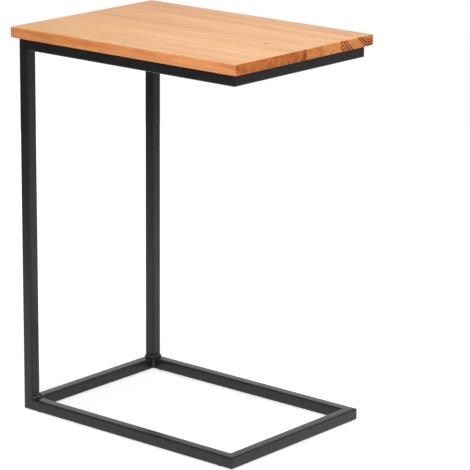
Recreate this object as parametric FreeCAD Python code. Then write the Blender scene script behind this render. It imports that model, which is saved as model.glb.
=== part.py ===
"""C-shaped side table: an edge-glued wooden top on a welded frame of square steel tube.

X runs along the arms of the C, with the posts at -X and the open end at +X.
Y runs across the table, and Z is up from the floor. Lengths are in millimetres.
"""
import FreeCAD, Part
import os
from FreeCAD import Rotation, Vector

# Wooden top
TOP_LENGTH = 500.0
TOP_THICKNESS = 19.0
BOARD_COUNT = 8
BOARD_WIDTH = 45.0
TOP_EDGE_RADIUS = 1.5

# Steel frame
FRAME_HEIGHT = 664.0
TOP_OVERHANG = 10.0
TUBE = 20.0
TUBE_WALL = 1.5
TUBE_CORNER_RADIUS = 2.5
WELD_LEG = 5.0
WELD_CROWN = 0.5

# Tabs, screws and washers that hold the top down
TAB_INSET = 90.0
TAB_LENGTH = 34.0
TAB_THICKNESS = 3.0
TAB_CORNER_RADIUS = 5.0
TAB_BELOW_CORNER = 0.5
TAB_MARGIN = 3.0
TAB_WELD_LEG = 3.0
WASHER_TO_WELD = 9.0
SLOT_TRAVEL = 4.0
SCREW_DIAMETER = 4.0
SCREW_BITE = 12.0
SCREW_POINT = 4.0
SCREW_HEAD_DIAMETER = 8.0
SCREW_HEAD_HEIGHT = 2.8
RECESS_SPAN = 4.4
RECESS_BLADE = 1.1
RECESS_DEPTH = 1.8
WASHER_DIAMETER = 12.0
WASHER_THICKNESS = 1.0
SCREW_CLEARANCE = 0.5
PILOT_CLEARANCE = 0.15

# Floor glides
GLIDE_HEIGHT = 2.0
GLIDE_DIAMETER = 12.0
GLIDE_EDGE_RADIUS = 0.6
GLIDE_INSET = 32.0
GLIDE_STEM_DIAMETER = 6.0
GLIDE_STEM_LENGTH = 7.0
GLIDE_BARB = 0.5
GLIDE_CLEARANCE = 0.15

# Places worked out from the sizes above
TOP_WIDTH = BOARD_COUNT * BOARD_WIDTH
FRAME_LENGTH = TOP_LENGTH - 2 * TOP_OVERHANG
FRAME_WIDTH = TOP_WIDTH - 2 * TOP_OVERHANG
REAR_FACE = -FRAME_LENGTH / 2
FRONT_FACE = FRAME_LENGTH / 2
BASE_UNDERSIDE = GLIDE_HEIGHT
FRAME_TOP = BASE_UNDERSIDE + FRAME_HEIGHT
REAR_LINE = REAR_FACE + TUBE / 2
FRONT_LINE = FRONT_FACE - TUBE / 2
SIDE_LINE = FRAME_WIDTH / 2 - TUBE / 2
BASE_LINE = BASE_UNDERSIDE + TUBE / 2
TOP_LINE = FRAME_TOP - TUBE / 2
INNER_SIDE = FRAME_WIDTH / 2 - TUBE
FLAT = TUBE - 2 * TUBE_CORNER_RADIUS
TAB_TOP = FRAME_TOP - TUBE_CORNER_RADIUS - TAB_BELOW_CORNER
TAB_UNDERSIDE = TAB_TOP - TAB_THICKNESS
SLOT_CENTRE = TAB_WELD_LEG + WASHER_TO_WELD + (WASHER_DIAMETER + SLOT_TRAVEL) / 2
TAB_REACH = SLOT_CENTRE + (WASHER_DIAMETER + SLOT_TRAVEL) / 2 + TAB_MARGIN
SCREW_SEAT = TAB_UNDERSIDE - WASHER_THICKNESS
SCREW_LENGTH = FRAME_TOP + SCREW_BITE - SCREW_SEAT

X = Vector(1, 0, 0)
Y = Vector(0, 1, 0)
Z = Vector(0, 0, 1)
SIDES = {"left": -1, "right": 1}


def save(name, shape):
    """Write one piece, or one group of like pieces, under its node name."""
    shape.exportStep(f"parts/{name}.step")


def edges_at(shape, test):
    """The edges whose middle passes the test."""
    return [edge for edge in shape.Edges if test(edge.CenterOfMass)]


def square_bar(size, radius, length):
    """A bar along Z with rounded long edges, centred on the axis."""
    bar = Part.makeBox(size, size, length, Vector(-size / 2, -size / 2, 0))
    long_edges = edges_at(bar, lambda middle: abs(middle.z - length / 2) < length / 4)
    return bar.makeFillet(radius, long_edges)


def straight_tube(start, end):
    """A square tube between two points on its centre line, with square ends."""
    length = (end - start).Length
    bore_radius = max(TUBE_CORNER_RADIUS - TUBE_WALL, TUBE_WALL / 5)
    outside = square_bar(TUBE, TUBE_CORNER_RADIUS, length)
    tube = outside.cut(square_bar(TUBE - 2 * TUBE_WALL, bore_radius, length))
    tube.Placement = FreeCAD.Placement(start, Rotation(Z, end - start))
    return tube


def half_space(point, normal):
    """A block that covers the side of a plane that its normal points to."""
    size = 6 * TUBE
    block = Part.makeBox(size, size, size, Vector(-size / 2, -size / 2, 0))
    block.Placement = FreeCAD.Placement(point, Rotation(Z, normal))
    return block


def frame_envelope():
    """The frame's outside, with the edges rounded where mitred corners are ground off."""
    corner = Vector(REAR_FACE, -FRAME_WIDTH / 2, BASE_UNDERSIDE)
    block = Part.makeBox(FRAME_LENGTH, FRAME_WIDTH, FRAME_HEIGHT, corner)
    rear = edges_at(block, lambda middle: middle.x < REAR_FACE + 1 and abs(middle.y) < 1)
    front = edges_at(block, lambda middle: middle.x > FRONT_FACE - 1 and abs(middle.y) > 1)
    return block.makeFillet(TUBE_CORNER_RADIUS, rear + front)


def mitred_tube(start, end, turn_at_start, turn_at_end):
    """A tube between two frame corners, mitred towards the way the frame turns at each."""
    along = (end - start).normalize()
    tube = straight_tube(start - along * TUBE / 2, end + along * TUBE / 2)
    tube = tube.cut(half_space(start, turn_at_start - along))
    tube = tube.cut(half_space(end, turn_at_end + along))
    return tube.common(frame_envelope())


def fillet_bead(point, first, second, length, leg, crown):
    """A weld bead on an inside corner: legs along two faces and a crowned front."""
    along = first.cross(second)
    start = point - along * length / 2
    toe_1 = start + first * leg
    toe_2 = start + second * leg
    front = (toe_1 + toe_2) / 2 + (first + second).normalize() * crown
    outline = Part.Wire([
        Part.makeLine(start, toe_1),
        Part.Arc(toe_1, front, toe_2).toShape(),
        Part.makeLine(toe_2, start),
    ])
    return Part.Face(outline).extrude(along * length)


def boards():
    """The top's boards, glued edge to edge, with only the panel's outside edges rounded."""
    corner = Vector(-TOP_LENGTH / 2, -TOP_WIDTH / 2, FRAME_TOP)
    panel = Part.makeBox(TOP_LENGTH, TOP_WIDTH, TOP_THICKNESS, corner)
    panel = panel.makeFillet(TOP_EDGE_RADIUS, panel.Edges)
    for point in screw_points():
        panel = panel.cut(pilot_hole(point))
    pieces = []
    for number in range(BOARD_COUNT):
        strip = Part.makeBox(2 * TOP_LENGTH, BOARD_WIDTH, 3 * TOP_THICKNESS)
        joint = number * BOARD_WIDTH - TOP_WIDTH / 2
        strip.translate(Vector(-TOP_LENGTH, joint, FRAME_TOP - TOP_THICKNESS))
        pieces.append(panel.common(strip))
    return pieces


def tab_places():
    """The corner name, X place and side of each fixing tab."""
    places = []
    for end, x in (("rear", REAR_FACE + TAB_INSET), ("front", FRONT_FACE - TAB_INSET)):
        for side, sign in SIDES.items():
            places.append((f"{end}_{side}", x, sign))
    return places


def screw_points():
    """The points on the tabs' undersides where the screws pass."""
    across = INNER_SIDE - SLOT_CENTRE
    return [Vector(x, sign * across, TAB_UNDERSIDE) for _, x, sign in tab_places()]


def slot_hole(point):
    """The slot in a tab, long across the grain so that the top can swell and shrink."""
    radius = SCREW_DIAMETER / 2 + SCREW_CLEARANCE
    depth = 2 * TAB_THICKNESS
    bottom = point - Z * TAB_THICKNESS / 2
    ends = [bottom + Y * shift for shift in (-SLOT_TRAVEL / 2, SLOT_TRAVEL / 2)]
    middle = Part.makeBox(2 * radius, SLOT_TRAVEL, depth, ends[0] - X * radius)
    rounds = [Part.makeCylinder(radius, depth, end) for end in ends]
    return middle.fuse(rounds)


def fixing_tab(x, sign, point):
    """A flat tab whose square edge stands on the inner wall of a top rail."""
    near = min(sign * INNER_SIDE, sign * (INNER_SIDE - TAB_REACH))
    corner = Vector(x - TAB_LENGTH / 2, near, TAB_UNDERSIDE)
    tab = Part.makeBox(TAB_LENGTH, TAB_REACH, TAB_THICKNESS, corner)
    free_edges = edges_at(
        tab,
        lambda middle: TAB_UNDERSIDE < middle.z - TAB_THICKNESS / 4 < TAB_TOP - TAB_THICKNESS / 2
        and abs(middle.y) < INNER_SIDE - TAB_REACH / 2,
    )
    return tab.makeFillet(TAB_CORNER_RADIUS, free_edges).cut(slot_hole(point))


def tab_weld(x, sign):
    """The bead under a tab, along the rail."""
    root = Vector(x, sign * INNER_SIDE, TAB_UNDERSIDE)
    length = TAB_LENGTH - 2 * TAB_WELD_LEG
    return fillet_bead(root, Y * -sign, -Z, length, TAB_WELD_LEG, WELD_CROWN / 2)


def washer(point):
    """A plain washer against the underside of a tab."""
    bottom = point - Z * WASHER_THICKNESS
    disc = Part.makeCylinder(WASHER_DIAMETER / 2, WASHER_THICKNESS, bottom)
    hole = Part.makeCylinder(SCREW_DIAMETER / 2 + SCREW_CLEARANCE, WASHER_THICKNESS, bottom)
    return disc.cut(hole)


def screw(point):
    """A pan-head wood screw that points up, with a cross recess in its head."""
    seat = Vector(point.x, point.y, SCREW_SEAT)
    radius = SCREW_DIAMETER / 2
    head_radius = SCREW_HEAD_DIAMETER / 2
    head = Part.makeCylinder(head_radius, SCREW_HEAD_HEIGHT, seat - Z * SCREW_HEAD_HEIGHT)
    rim = edges_at(head, lambda middle: middle.z < SCREW_SEAT - 0.75 * SCREW_HEAD_HEIGHT)
    head = head.makeFillet(SCREW_HEAD_HEIGHT / 2, rim)
    for size_x, size_y in ((RECESS_SPAN, RECESS_BLADE), (RECESS_BLADE, RECESS_SPAN)):
        corner = seat - Vector(size_x / 2, size_y / 2, SCREW_HEAD_HEIGHT)
        head = head.cut(Part.makeBox(size_x, size_y, RECESS_DEPTH, corner))
    straight = SCREW_LENGTH - SCREW_POINT
    shank = Part.makeCylinder(radius, straight, seat)
    tip = Part.makeCone(radius, radius / 8, SCREW_POINT, seat + Z * straight)
    return head.fuse([shank, tip]).removeSplitter()


def pilot_hole(point):
    """The hole in the wood for one screw, from the frame's top plane to the screw's tip."""
    bottom = FRAME_TOP - TOP_THICKNESS
    depth = TOP_THICKNESS + SCREW_BITE + PILOT_CLEARANCE
    radius = SCREW_DIAMETER / 2 + PILOT_CLEARANCE
    return Part.makeCylinder(radius, depth, Vector(point.x, point.y, bottom))


def glide_places():
    """The corner name and place on the floor of each glide."""
    places = []
    for end, x in (("rear", REAR_FACE + GLIDE_INSET), ("front", FRONT_FACE - GLIDE_INSET)):
        for side, sign in SIDES.items():
            places.append((f"{end}_{side}", Vector(x, sign * SIDE_LINE, 0)))
    return places


def glide(place):
    """A plastic glide: a flat foot, a stem through the tube's wall and a barb behind it."""
    foot_radius = GLIDE_DIAMETER / 2
    stem_radius = GLIDE_STEM_DIAMETER / 2
    behind_wall = GLIDE_HEIGHT + TUBE_WALL + GLIDE_CLEARANCE
    stem_end = GLIDE_HEIGHT + GLIDE_STEM_LENGTH
    edge_middle = GLIDE_EDGE_RADIUS * (1 - 0.5 ** 0.5)
    rounded_edge = Part.Arc(
        Vector(foot_radius - GLIDE_EDGE_RADIUS, 0, 0),
        Vector(foot_radius - edge_middle, 0, edge_middle),
        Vector(foot_radius, 0, GLIDE_EDGE_RADIUS),
    ).toShape()
    rest = Part.makePolygon([
        Vector(foot_radius, 0, GLIDE_EDGE_RADIUS),
        Vector(foot_radius, 0, GLIDE_HEIGHT),
        Vector(stem_radius, 0, GLIDE_HEIGHT),
        Vector(stem_radius, 0, behind_wall),
        Vector(stem_radius + GLIDE_BARB, 0, behind_wall),
        Vector(stem_radius - GLIDE_BARB, 0, stem_end),
        Vector(0, 0, stem_end),
        Vector(0, 0, 0),
        Vector(foot_radius - GLIDE_EDGE_RADIUS, 0, 0),
    ])
    half = Part.Face(Part.Wire([rounded_edge] + rest.Edges))
    piece = half.revolve(Vector(0, 0, 0), Z, 360)
    piece.translate(place)
    return piece


def glide_hole(place):
    """The hole in the underside of a base rail for one glide's stem."""
    bottom = Vector(place.x, place.y, BASE_UNDERSIDE - TUBE_WALL)
    radius = GLIDE_STEM_DIAMETER / 2 + GLIDE_CLEARANCE
    return Part.makeCylinder(radius, 3 * TUBE_WALL, bottom)


def side_frame(sign):
    """One C of the frame: base rail, post and top rail, mitred to each other."""
    y = sign * SIDE_LINE
    inward = Y * -sign
    rear_base, front_base = Vector(REAR_LINE, y, BASE_LINE), Vector(FRONT_LINE, y, BASE_LINE)
    rear_top, front_top = Vector(REAR_LINE, y, TOP_LINE), Vector(FRONT_LINE, y, TOP_LINE)
    base_rail = mitred_tube(rear_base, front_base, Z, inward)
    for _, place in glide_places():
        base_rail = base_rail.cut(glide_hole(place))
    post = mitred_tube(rear_base, rear_top, X, X)
    top_rail = mitred_tube(rear_top, front_top, -Z, inward)
    return base_rail, post, top_rail


def front_rail(line):
    """A cross tube at the open end of the C, mitred to both sides."""
    left = Vector(FRONT_LINE, -SIDE_LINE, line)
    right = Vector(FRONT_LINE, SIDE_LINE, line)
    return mitred_tube(left, right, -X, -X)


def rear_rail(line):
    """A cross tube between the posts, butted to the inner faces of the two sides."""
    left = Vector(REAR_LINE, -INNER_SIDE, line)
    right = Vector(REAR_LINE, INNER_SIDE, line)
    return straight_tube(left, right)


def rear_corner_weld(sign, line, opening):
    """The beads where a post, a rail and the rear cross tube meet, and the flush seam behind."""
    inward = Y * -sign
    inner = sign * INNER_SIDE
    face = line + opening.z * TUBE / 2
    behind = REAR_FACE + TUBE
    roots = (
        (Vector(behind, sign * SIDE_LINE, face), X, opening),
        (Vector(REAR_LINE, inner, face), inward, opening),
        (Vector(behind, inner, line), X, inward),
    )
    beads = [fillet_bead(*root, FLAT, WELD_LEG, WELD_CROWN) for root in roots]
    return Part.makeCompound(beads + [rear_seam(sign, line)])


def rear_seam(sign, line):
    """The ground weld that fills a post's rounded edge where the rear cross tube meets it."""
    width = 0.8 * TUBE_CORNER_RADIUS
    near = min(sign * INNER_SIDE, sign * (INNER_SIDE + width))
    seam = Part.makeBox(width, width, FLAT, Vector(REAR_FACE, near, line - FLAT / 2))
    post = square_bar(TUBE, TUBE_CORNER_RADIUS, FRAME_HEIGHT)
    post.translate(Vector(REAR_LINE, sign * SIDE_LINE, BASE_UNDERSIDE))
    return seam.cut(post)


def front_corner_weld(sign, line):
    """The upright bead in the inner corner of a front mitre."""
    root = Vector(FRONT_FACE - TUBE, sign * INNER_SIDE, line)
    return fillet_bead(root, -X, Y * -sign, FLAT, WELD_LEG, WELD_CROWN)


def main():
    os.makedirs("parts", exist_ok=True)

    for number, board in enumerate(boards(), 1):
        save(f"top_board_{number}", board)

    for side, sign in SIDES.items():
        base_rail, post, top_rail = side_frame(sign)
        save(f"base_{side}_rail", base_rail)
        save(f"{side}_post", post)
        save(f"top_{side}_rail", top_rail)
        save(f"{side}_post_foot_weld", rear_corner_weld(sign, BASE_LINE, Z))
        save(f"{side}_post_head_weld", rear_corner_weld(sign, TOP_LINE, -Z))
        save(f"base_front_{side}_weld", front_corner_weld(sign, BASE_LINE))
        save(f"top_front_{side}_weld", front_corner_weld(sign, TOP_LINE))

    for level, line in (("base", BASE_LINE), ("top", TOP_LINE)):
        save(f"{level}_front_rail", front_rail(line))
        save(f"{level}_rear_rail", rear_rail(line))

    points = screw_points()
    tab_beads = []
    for (corner, x, sign), point in zip(tab_places(), points):
        save(f"fixing_tab_{corner}", fixing_tab(x, sign, point))
        tab_beads.append(tab_weld(x, sign))
    save("fixing_tab_welds", Part.makeCompound(tab_beads))
    save("top_screws", Part.makeCompound([screw(point) for point in points]))
    save("top_washers", Part.makeCompound([washer(point) for point in points]))

    for corner, place in glide_places():
        save(f"glide_{corner}", glide(place))


main()
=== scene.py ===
"""C-shaped side table: an edge-glued wooden top on a black frame of welded square tube."""
import math
from typing import NamedTuple

import bmesh
import bpy
from bpy.props import FloatProperty, FloatVectorProperty, IntProperty, PointerProperty
from mathutils import Matrix, Vector


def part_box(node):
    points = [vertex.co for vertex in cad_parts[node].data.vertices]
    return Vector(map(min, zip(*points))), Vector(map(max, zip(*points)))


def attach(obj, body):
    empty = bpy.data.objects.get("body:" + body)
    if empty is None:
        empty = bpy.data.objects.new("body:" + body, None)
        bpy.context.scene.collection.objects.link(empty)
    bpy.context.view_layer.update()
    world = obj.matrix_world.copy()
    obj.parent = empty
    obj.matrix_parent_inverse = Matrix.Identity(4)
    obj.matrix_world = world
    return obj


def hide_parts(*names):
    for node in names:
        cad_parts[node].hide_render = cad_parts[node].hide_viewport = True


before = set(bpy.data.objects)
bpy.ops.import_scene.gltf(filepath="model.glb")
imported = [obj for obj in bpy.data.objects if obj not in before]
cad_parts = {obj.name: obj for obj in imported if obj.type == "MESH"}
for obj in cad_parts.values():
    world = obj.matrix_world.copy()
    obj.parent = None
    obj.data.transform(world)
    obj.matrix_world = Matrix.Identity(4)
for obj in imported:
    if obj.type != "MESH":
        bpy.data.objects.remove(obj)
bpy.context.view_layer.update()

bl_info = {
    "name": "C-shaped side table",
    "version": (1, 0, 0),
    "blender": (4, 5, 0),
    "location": "3D View > Sidebar > Side table",
    "description": "Builds the boards, tubes, welds and fixings of a C-shaped side table",
    "category": "Object",
}

BODY = "root"
MM = 0.001
X = Vector((1, 0, 0))
Y = Vector((0, 1, 0))
Z = Vector((0, 0, 1))
SIDES = {"left": -1, "right": 1}
ENDS = ("rear", "front")
CORNERS = [f"{end}_{side}" for end in ENDS for side in SIDES]
WHITE = (1, 1, 1)
FAR_AWAY = 1e4
SHARP = math.radians(40)
FLAT = 0.99999
MADE = {}


class Stave(NamedTuple):
    """How one board of the top was cut from its log. Lengths are in millimetres.

    The pith is given across from the board's left edge and up from its underside.
    Tone and end say how dark the long grain and the end grain are. Dense rings lie
    between two radii. A streak has its place across from the left edge, and its two
    ends along X. A knot has its place along X, its place across and its size.
    """
    pith: tuple
    ring: float
    contrast: float
    tone: float
    end: float
    dense: tuple = (0, 0)
    streak: tuple = (FAR_AWAY, 0, 0)
    knot: tuple = (0, FAR_AWAY, 1)


STAVES = (
    Stave(pith=(-12, -62), ring=2.6, contrast=0.40, tone=0.03, end=0.56),
    Stave(pith=(70, -30), ring=3.0, contrast=0.30, tone=0.00, end=0.50, streak=(21, 60, 300)),
    Stave(pith=(-150, 4), ring=4.6, contrast=0.28, tone=-0.06, end=0.54, streak=(40, -190, -90)),
    Stave(pith=(-40, 60), ring=4.2, contrast=0.28, tone=0.00, end=0.56, dense=(92, 106),
          knot=(171, 38, 4.5)),
    Stave(pith=(-18, -72), ring=3.6, contrast=0.30, tone=0.01, end=0.24, streak=(20, -220, 60)),
    Stave(pith=(-15, -80), ring=3.8, contrast=0.28, tone=-0.06, end=-0.06),
    Stave(pith=(60, 56), ring=5.0, contrast=0.24, tone=0.05, end=0.10, dense=(57, 74)),
    Stave(pith=(35, 45), ring=4.2, contrast=0.26, tone=0.08, end=0.18, dense=(32, 44)),
)


def metres(name, description, default, low=0.5, high=100.0):
    """A setting for a length in metres."""
    return FloatProperty(
        name=name, description=description, default=default, min=low, max=high,
        subtype="DISTANCE", unit="LENGTH")


def length(name, description, default, low, high):
    """A setting for a length, given here in millimetres."""
    return metres(name, description, default * MM, low * MM, high * MM)


def power(name, description, default):
    """A setting for the power of a lamp, in watts."""
    return FloatProperty(
        name=name, description=description, default=default, min=0, unit="POWER")


def share(name, description, default):
    """A setting between 0 and 1."""
    return FloatProperty(
        name=name, description=description, default=default, min=0, max=1, subtype="FACTOR")


def colour(name, description, default):
    """A setting for a colour."""
    return FloatVectorProperty(
        name=name, description=description, default=default, min=0, max=1, subtype="COLOR")


def angle(name, description, default):
    """A setting for an angle, given here in degrees."""
    return FloatProperty(
        name=name, description=description, default=math.radians(default),
        subtype="ANGLE", unit="ROTATION")


def point(name, description, default):
    """A setting for a place in metres."""
    return FloatVectorProperty(
        name=name, description=description, default=default, subtype="TRANSLATION", unit="LENGTH")


class WoodSettings(bpy.types.PropertyGroup):
    """Sizes and colours of the wooden top."""
    edge_radius: length("Edge radius", "Rounding of the top's outside edges", 1.5, 0.2, 5)
    lower_radius: length("Lower radius", "Rounding of the outside edges underneath", 3.0, 0.2, 5)
    early_wood: colour("Early wood", "The pale part of a growth ring", (0.86, 0.507, 0.247))
    late_wood: colour("Late wood", "The dark part of a growth ring", (0.30, 0.070, 0.012))
    # The edge tint is painted shade: it darkens the long side faces of the top against its upper face.
    side_shade_tint: colour("Edge tint", "How the oil deepens the long edges", (1.00, 0.73, 0.56))
    end_tint: colour("End tint", "How the oil deepens the end grain", (1.00, 0.63, 0.35))
    dense_tint: colour("Dense tint", "How much darker dense rings are in end grain", (0.34, 0.24, 0.20))
    # The warm tint is laid on more towards the rear end of the top, along X, and less towards its front
    # end.
    warm_tint: colour("Warm tint", "The colour of the warmer wood near the posts", (1.00, 0.90, 0.72))
    roughness: share("Roughness", "Roughness of the oiled surface", 0.45)


class FrameSettings(bpy.types.PropertyGroup):
    """Sizes and colour of the steel frame and its welds."""
    corner_radius: length("Tube corner", "Outside rounding of the square tube", 2.5, 0.5, 6)
    wall: length("Tube wall", "Wall thickness of the square tube", 1.5, 0.5, 4)
    corner_steps: IntProperty(
        name="Corner steps", description="Facets in each rounded corner of the tube",
        default=8, min=2, max=24)
    bead_leg: length("Bead leg", "Width of a frame weld on each of its two faces", 5.2, 1, 10)
    tab_bead_leg: length("Tab bead leg", "Width of a tab's weld on each face", 3.0, 1, 10)
    ripple_spacing: length("Ripple spacing", "Distance between a weld's ripples", 1.6, 0.3, 5)
    ripple_depth: share("Ripple depth", "Share of a bead's size that ripples take off", 0.08)
    lump_spacing: length("Lump spacing", "Distance between a weld's lumps", 4.5, 1, 20)
    lump_depth: share("Lump depth", "Share of a bead's size by which lumps vary it", 0.30)
    coat: colour("Coat", "Colour of the powder coat", (0.0112, 0.0115, 0.0120))
    sheen: share("Sheen", "Specular level of the powder coat", 0.46)
    roughness: share("Roughness", "Roughness of the powder coat", 0.30)


class FixingSettings(bpy.types.PropertyGroup):
    """Sizes and colours of the tabs, screws, washers and glides."""
    tab_corner: length("Tab corner", "Rounding of a tab's free corners", 5.0, 0.5, 10)
    tab_ease: length("Tab ease", "Softening of a tab's edges", 0.3, 0.05, 1)
    slot_travel: length("Slot travel", "How far a screw can slide in its slot", 4.0, 1, 8)
    shank: length("Shank", "Diameter of a screw's shank", 4.0, 2, 6)
    clearance: length("Clearance", "Room round a shank in its washer and slot", 0.5, 0.1, 1)
    fit: length("Fit", "Room round a screw in the wood and a stem in the tube", 0.15, 0.05, 0.5)
    thread_pitch: length("Thread pitch", "Rise of a screw's thread in one turn", 1.8, 0.5, 4)
    thread_depth: length("Thread depth", "Depth of a screw's thread", 0.55, 0.1, 1)
    tip: length("Tip", "Length of a screw's point", 4.0, 1, 8)
    recess_span: length("Recess span", "Width of the cross in a screw's head", 4.4, 1, 7)
    recess_blade: length("Recess blade", "Width of one slot of that cross", 1.1, 0.3, 3)
    recess_depth: length("Recess depth", "Depth of that cross", 1.8, 0.5, 2.5)
    barb: length("Barb", "How far a glide's barb stands out", 0.5, 0.1, 2)
    glide_ease: length("Glide ease", "Rounding of a glide's foot", 0.6, 0.1, 2)
    zinc: colour("Zinc", "Colour of the plated screws and washers", (0.60, 0.61, 0.60))
    plastic: colour("Plastic", "Colour of the glides", (0.020, 0.020, 0.021))


class StageSettings(bpy.types.PropertyGroup):
    """The camera, the floor and the studio light."""
    azimuth: angle("Azimuth", "Turn of the camera round the table", 39.953)
    elevation: angle("Elevation", "Height of the camera above the horizon", 14.980)
    roll: angle("Roll", "Turn of the camera about its own line of sight", 0.445)
    distance: metres("Distance", "From the camera to the point it aims at", 4.4432)
    aim: point("Aim", "The point that the camera aims at", (0.05491, 0.05450, 0.32582))
    lens: FloatProperty(
        name="Lens", description="Focal length in millimetres on a 36 mm sensor",
        default=196.928, min=10)
    floor_middle: point("Floor middle", "The middle of the round studio floor", (0.1, 0.35, 0.0))
    floor_radius: metres("Floor radius", "Radius of the round studio floor", 2.2)
    floor: colour("Floor", "Colour of the studio floor", (0.76, 0.76, 0.76))
    seen_glow: share("Seen glow", "White added to the floor near the table where it is seen", 0.62)
    mirrored_glow: share("Mirrored glow", "White added to it in the coat's reflections", 0.40)
    dim: share("Dim", "Light from the studio round the table", 0.22)
    rear_screen: share("Rear screen", "Brightness of the screen behind the table", 0.66)
    front_screen: FloatProperty(
        name="Front screen", description="Brightness of the screen in front of the table",
        default=2.4, min=0)
    key_place: point("Key place", "Where the overhead lamp hangs", (0.40, -0.05, 2.3))
    key_size: metres("Key size", "Width of the overhead lamp", 1.6)
    key_power: power("Key power", "Power of the overhead lamp", 31)
    fill_place: point("Fill place", "Where the front lamp stands", (2.4, -3.4, 1.4))
    fill_aim: point("Fill aim", "The point that the front lamp lights", (0.0, 0.0, 0.35))
    fill_size: metres("Fill size", "Width of the front lamp", 2.4)
    fill_power: power("Fill power", "Power of the front lamp", 150)


def maths(operation):
    """A Python operator that adds one maths node."""
    return lambda self, *others: self.nodes.math(operation, self, *others)


class Signal:
    """One value in a node tree, with Python's operators for its maths."""
    __add__ = __radd__ = maths("ADD")
    __sub__ = maths("SUBTRACT")
    __mul__ = __rmul__ = maths("MULTIPLY")
    __truediv__ = maths("DIVIDE")
    __abs__ = maths("ABSOLUTE")

    def __init__(self, nodes, socket):
        self.nodes = nodes
        self.socket = socket

    def __rsub__(self, other):
        return self.nodes.math("SUBTRACT", other, self)


class Nodes:
    """A node tree. Its node method adds any node and returns one of its outputs."""

    def __init__(self, tree):
        self.tree = tree
        self.tree.nodes.clear()

    def node(self, kind, sockets=None, output=0, **settings):
        made = self.tree.nodes.new(kind)
        for name, value in settings.items():
            setattr(made, name, value)
        for key, value in (sockets or {}).items():
            if isinstance(value, Signal):
                self.tree.links.new(value.socket, made.inputs[key])
            else:
                made.inputs[key].default_value = value
        return Signal(self, made.outputs[output]) if made.outputs else None

    def math(self, operation, *values):
        return self.node("ShaderNodeMath", dict(enumerate(values)), operation=operation)

    def parts(self, vector):
        return [self.node("ShaderNodeSeparateXYZ", {"Vector": vector}, axis) for axis in "XYZ"]

    def distance(self, x, y):
        """How far a point lies from the middle of a plane."""
        return self.math("SQRT", x * x + y * y)

    def towards(self, x, y, way):
        """How far a point lies along a level direction."""
        return x * way[0] + y * way[1]

    def place(self):
        """Object coordinates in millimetres."""
        return [part / MM for part in self.parts(self.node("ShaderNodeTexCoord", output="Object"))]

    def attribute(self, name):
        return self.parts(self.node(
            "ShaderNodeAttribute", output="Vector", attribute_name=name, attribute_type="GEOMETRY"))

    def noise(self, place, detail=2.0, roughness=0.5):
        """Smooth noise about zero, between -0.5 and 0.5."""
        vector = self.node("ShaderNodeCombineXYZ", dict(enumerate(place)))
        sockets = {"Vector": vector, "Scale": 1.0, "Detail": detail, "Roughness": roughness}
        return self.node("ShaderNodeTexNoise", sockets) - 0.5

    def step(self, value, low, high):
        """A smooth step from 0 at low to 1 at high."""
        sockets = {"Value": value, "From Min": low, "From Max": high}
        return self.node("ShaderNodeMapRange", sockets, interpolation_type="SMOOTHSTEP")

    def mix(self, factor, first, second, blend="MIX"):
        sockets = {0: factor, 6: first, 7: second}
        return self.node("ShaderNodeMix", sockets, 2, data_type="RGBA", blend_type=blend)

    def tint(self, factor, base, tint):
        """A colour multiplied by a tint, as far as the factor says."""
        return self.mix(factor, base, rgba(tint), "MULTIPLY")

    def bump(self, strength, depth, height):
        """A fine relief, whose depth is in metres."""
        return self.node("ShaderNodeBump", {
            "Strength": strength, "Distance": depth, "Height": height})

    def rays(self):
        """Whether a ray is the camera's own, and whether it is mirrored or goes through glass."""
        camera, mirrored, through = (
            self.node("ShaderNodeLightPath", output=f"Is {kind} Ray")
            for kind in ("Camera", "Glossy", "Transmission"))
        return camera, self.math("MAXIMUM", mirrored, through)


def rgba(base, gain=1.0):
    """A colour with alpha, made lighter or darker by a gain."""
    return [channel * gain for channel in base] + [1.0]


def new_material(name):
    """A material and its empty node tree."""
    material = bpy.data.materials.new(name)
    material.use_nodes = True
    return material, Nodes(material.node_tree)


def shade(nodes, sockets):
    """End a material's nodes in one shader with the given sockets."""
    shader = nodes.node("ShaderNodeBsdfPrincipled", sockets)
    nodes.node("ShaderNodeOutputMaterial", {"Surface": shader})


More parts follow.
